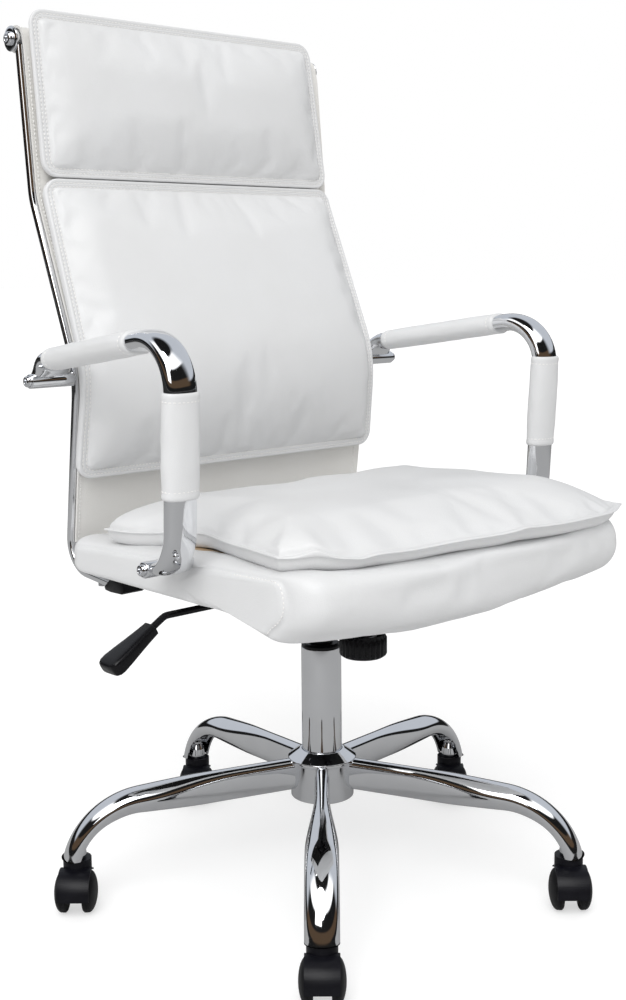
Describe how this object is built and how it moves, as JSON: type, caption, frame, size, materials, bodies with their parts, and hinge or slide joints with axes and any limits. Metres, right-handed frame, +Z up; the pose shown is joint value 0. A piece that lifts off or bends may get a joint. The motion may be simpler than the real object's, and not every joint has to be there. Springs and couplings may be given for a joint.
{
  "type": "high-back swivel office chair",
  "caption": "High-back swivel office chair with padded sling back, loop arms, loose seat cushion, gas lift and castor star base.",
  "frame": {"origin": "on the floor, on the axis of the gas column", "axes": "+Z up along the column; the chair faces -Y; +X is the sitter's left, and the height lever is on the -X side"},
  "size_m": [0.6501, 0.6434, 1.069],
  "materials": {
    "chrome": "polished",
    "bolt_chrome": "polished",
    "black_trim": "satin",
    "caster_plastic": "satin",
    "wheel_plastic": "satin",
    "bright_steel": "satin",
    "black_steel": "satin",
    "black_plastic": "satin",
    "spring_steel": "satin",
    "plywood": "matte",
    "padded_leatherette": "satin",
    "leatherette": "satin"
  },
  "bodies": {
    "base": {"base_hub": "chrome", "base_leg_1": "chrome", "base_leg_2": "chrome", "base_leg_3": "chrome", "base_leg_4": "chrome", "base_leg_5": "chrome", "caster_sockets": "chrome", "column_tube": "chrome", "column_bush": "black_trim", "thrust_bearing": "bright_steel"},
    "piston": {"piston_rod": "bright_steel", "retaining_clip": "bright_steel"},
    "seat_mechanism": {"lift_cylinder": "black_steel", "mechanism_housing": "black_steel", "tilt_pivot_pin": "bright_steel", "tension_spring": "spring_steel"},
    "valve": {"valve_pin": "bright_steel"},
    "lock_slider": {"tilt_lock_slider": "black_plastic"},
    "lever": {"lever_rod": "black_steel", "lever_paddle": "black_plastic"},
    "seat": {"mechanism_top_plate": "black_steel", "tension_bolt": "bright_steel", "seat_board": "plywood", "seat_screws": "bright_steel", "seat_pad": "padded_leatherette", "seat_cushion": "padded_leatherette", "left_rail": "chrome", "right_rail": "chrome", "rail_end_caps": "black_trim", "top_bar": "chrome", "top_bar_bolts": "bolt_chrome", "back_sling": "leatherette", "head_pad": "padded_leatherette", "back_pad": "padded_leatherette", "left_arm": "chrome", "right_arm": "chrome", "arm_sleeves": "leatherette", "arm_bolts": "bolt_chrome"},
    "tension_knob": {"tension_knob": "black_plastic"},
    "caster_1": {"caster_hood_1": "caster_plastic", "caster_pins_1": "bright_steel"},
    "wheel_1_a": {"caster_wheel_1_a": "wheel_plastic"},
    "wheel_1_b": {"caster_wheel_1_b": "wheel_plastic"},
    "caster_2": {"caster_hood_2": "caster_plastic", "caster_pins_2": "bright_steel"},
    "wheel_2_a": {"caster_wheel_2_a": "wheel_plastic"},
    "wheel_2_b": {"caster_wheel_2_b": "wheel_plastic"},
    "caster_3": {"caster_hood_3": "caster_plastic", "caster_pins_3": "bright_steel"},
    "wheel_3_a": {"caster_wheel_3_a": "wheel_plastic"},
    "wheel_3_b": {"caster_wheel_3_b": "wheel_plastic"},
    "caster_4": {"caster_hood_4": "caster_plastic", "caster_pins_4": "bright_steel"},
    "wheel_4_a": {"caster_wheel_4_a": "wheel_plastic"},
    "wheel_4_b": {"caster_wheel_4_b": "wheel_plastic"},
    "caster_5": {"caster_hood_5": "caster_plastic", "caster_pins_5": "bright_steel"},
    "wheel_5_a": {"caster_wheel_5_a": "wheel_plastic"},
    "wheel_5_b": {"caster_wheel_5_b": "wheel_plastic"}
  },
  "joints": [
    {"name": "seat_swivel", "type": "hinge", "parent": "base", "child": "piston", "pos_m": [0, 0, 0.113], "axis": [0, 0, 1], "continuous": true},
    {"name": "seat_lift", "type": "slide", "parent": "piston", "child": "seat_mechanism", "axis": [0, 0, 1], "range_m": [0, 0.1]},
    {"name": "tilt_lock", "type": "slide", "parent": "seat_mechanism", "child": "lock_slider", "axis": [-1, 0, 0], "range_m": [0, 0.006]},
    {"name": "lever_lift", "type": "hinge", "parent": "lock_slider", "child": "lever", "pos_m": [-0.048, 0, 0.376], "axis": [0, 1, 0], "range_deg": [0, 5], "stiffness_Nm_per_rad": 2, "springref_deg": -5.73},
    {"name": "valve_press", "type": "slide", "parent": "seat_mechanism", "child": "valve", "axis": [0, 0, -1], "range_m": [0, 0.0045]},
    {"name": "recline", "type": "hinge", "parent": "seat_mechanism", "child": "seat", "pos_m": [0, 0.04, 0.368], "axis": [-1, 0, 0], "range_deg": [0, 12], "stiffness_Nm_per_rad": 60, "springref_deg": -22.92, "deforming": ["tension_spring"]},
    {"name": "tension_knob_turn", "type": "hinge", "parent": "seat", "child": "tension_knob", "pos_m": [0, -0.075, 0.31], "axis": [0, 0, 1], "continuous": true},
    {"name": "caster_swivel_1", "type": "hinge", "parent": "base", "child": "caster_1", "pos_m": [-0.21091, -0.22856, 0.0616], "axis": [0, 0, 1], "continuous": true},
    {"name": "wheel_spin_1_a", "type": "hinge", "parent": "caster_1", "child": "wheel_1_a", "pos_m": [-0.22108, -0.23958, 0.025], "axis": [0.7349, -0.6782, 0], "continuous": true},
    {"name": "wheel_spin_1_b", "type": "hinge", "parent": "caster_1", "child": "wheel_1_b", "pos_m": [-0.22108, -0.23958, 0.025], "axis": [0.7349, -0.6782, 0], "continuous": true},
    {"name": "caster_swivel_2", "type": "hinge", "parent": "base", "child": "caster_2", "pos_m": [0.1522, -0.27121, 0.0616], "axis": [0, 0, 1], "continuous": true},
    {"name": "wheel_spin_2_a", "type": "hinge", "parent": "caster_2", "child": "wheel_2_a", "pos_m": [0.14203, -0.28224, 0.025], "axis": [0.7349, -0.6782, 0], "continuous": true},
    {"name": "wheel_spin_2_b", "type": "hinge", "parent": "caster_2", "child": "wheel_2_b", "pos_m": [0.14203, -0.28224, 0.025], "axis": [0.7349, -0.6782, 0], "continuous": true},
    {"name": "caster_swivel_3", "type": "hinge", "parent": "base", "child": "caster_3", "pos_m": [0.30497, 0.06094, 0.0616], "axis": [0, 0, 1], "continuous": true},
    {"name": "wheel_spin_3_a", "type": "hinge", "parent": "caster_3", "child": "wheel_3_a", "pos_m": [0.2948, 0.04992, 0.025], "axis": [0.7349, -0.6782, 0], "continuous": true},
    {"name": "wheel_spin_3_b", "type": "hinge", "parent": "caster_3", "child": "wheel_3_b", "pos_m": [0.2948, 0.04992, 0.025], "axis": [0.7349, -0.6782, 0], "continuous": true},
    {"name": "caster_swivel_4", "type": "hinge", "parent": "base", "child": "caster_4", "pos_m": [0.03628, 0.30888, 0.0616], "axis": [0, 0, 1], "continuous": true},
    {"name": "wheel_spin_4_a", "type": "hinge", "parent": "caster_4", "child": "wheel_4_a", "pos_m": [0.02611, 0.29785, 0.025], "axis": [0.7349, -0.6782, 0], "continuous": true},
    {"name": "wheel_spin_4_b", "type": "hinge", "parent": "caster_4", "child": "wheel_4_b", "pos_m": [0.02611, 0.29785, 0.025], "axis": [0.7349, -0.6782, 0], "continuous": true},
    {"name": "caster_swivel_5", "type": "hinge", "parent": "base", "child": "caster_5", "pos_m": [-0.28255, 0.12996, 0.0616], "axis": [0, 0, 1], "continuous": true},
    {"name": "wheel_spin_5_a", "type": "hinge", "parent": "caster_5", "child": "wheel_5_a", "pos_m": [-0.29272, 0.11893, 0.025], "axis": [0.7349, -0.6782, 0], "continuous": true},
    {"name": "wheel_spin_5_b", "type": "hinge", "parent": "caster_5", "child": "wheel_5_b", "pos_m": [-0.29272, 0.11893, 0.025], "axis": [0.7349, -0.6782, 0], "continuous": true}
  ],
  "couplings": [
    {"joint": "valve_press", "follows": "lever_lift", "m_per_rad": 0.048}
  ]
}
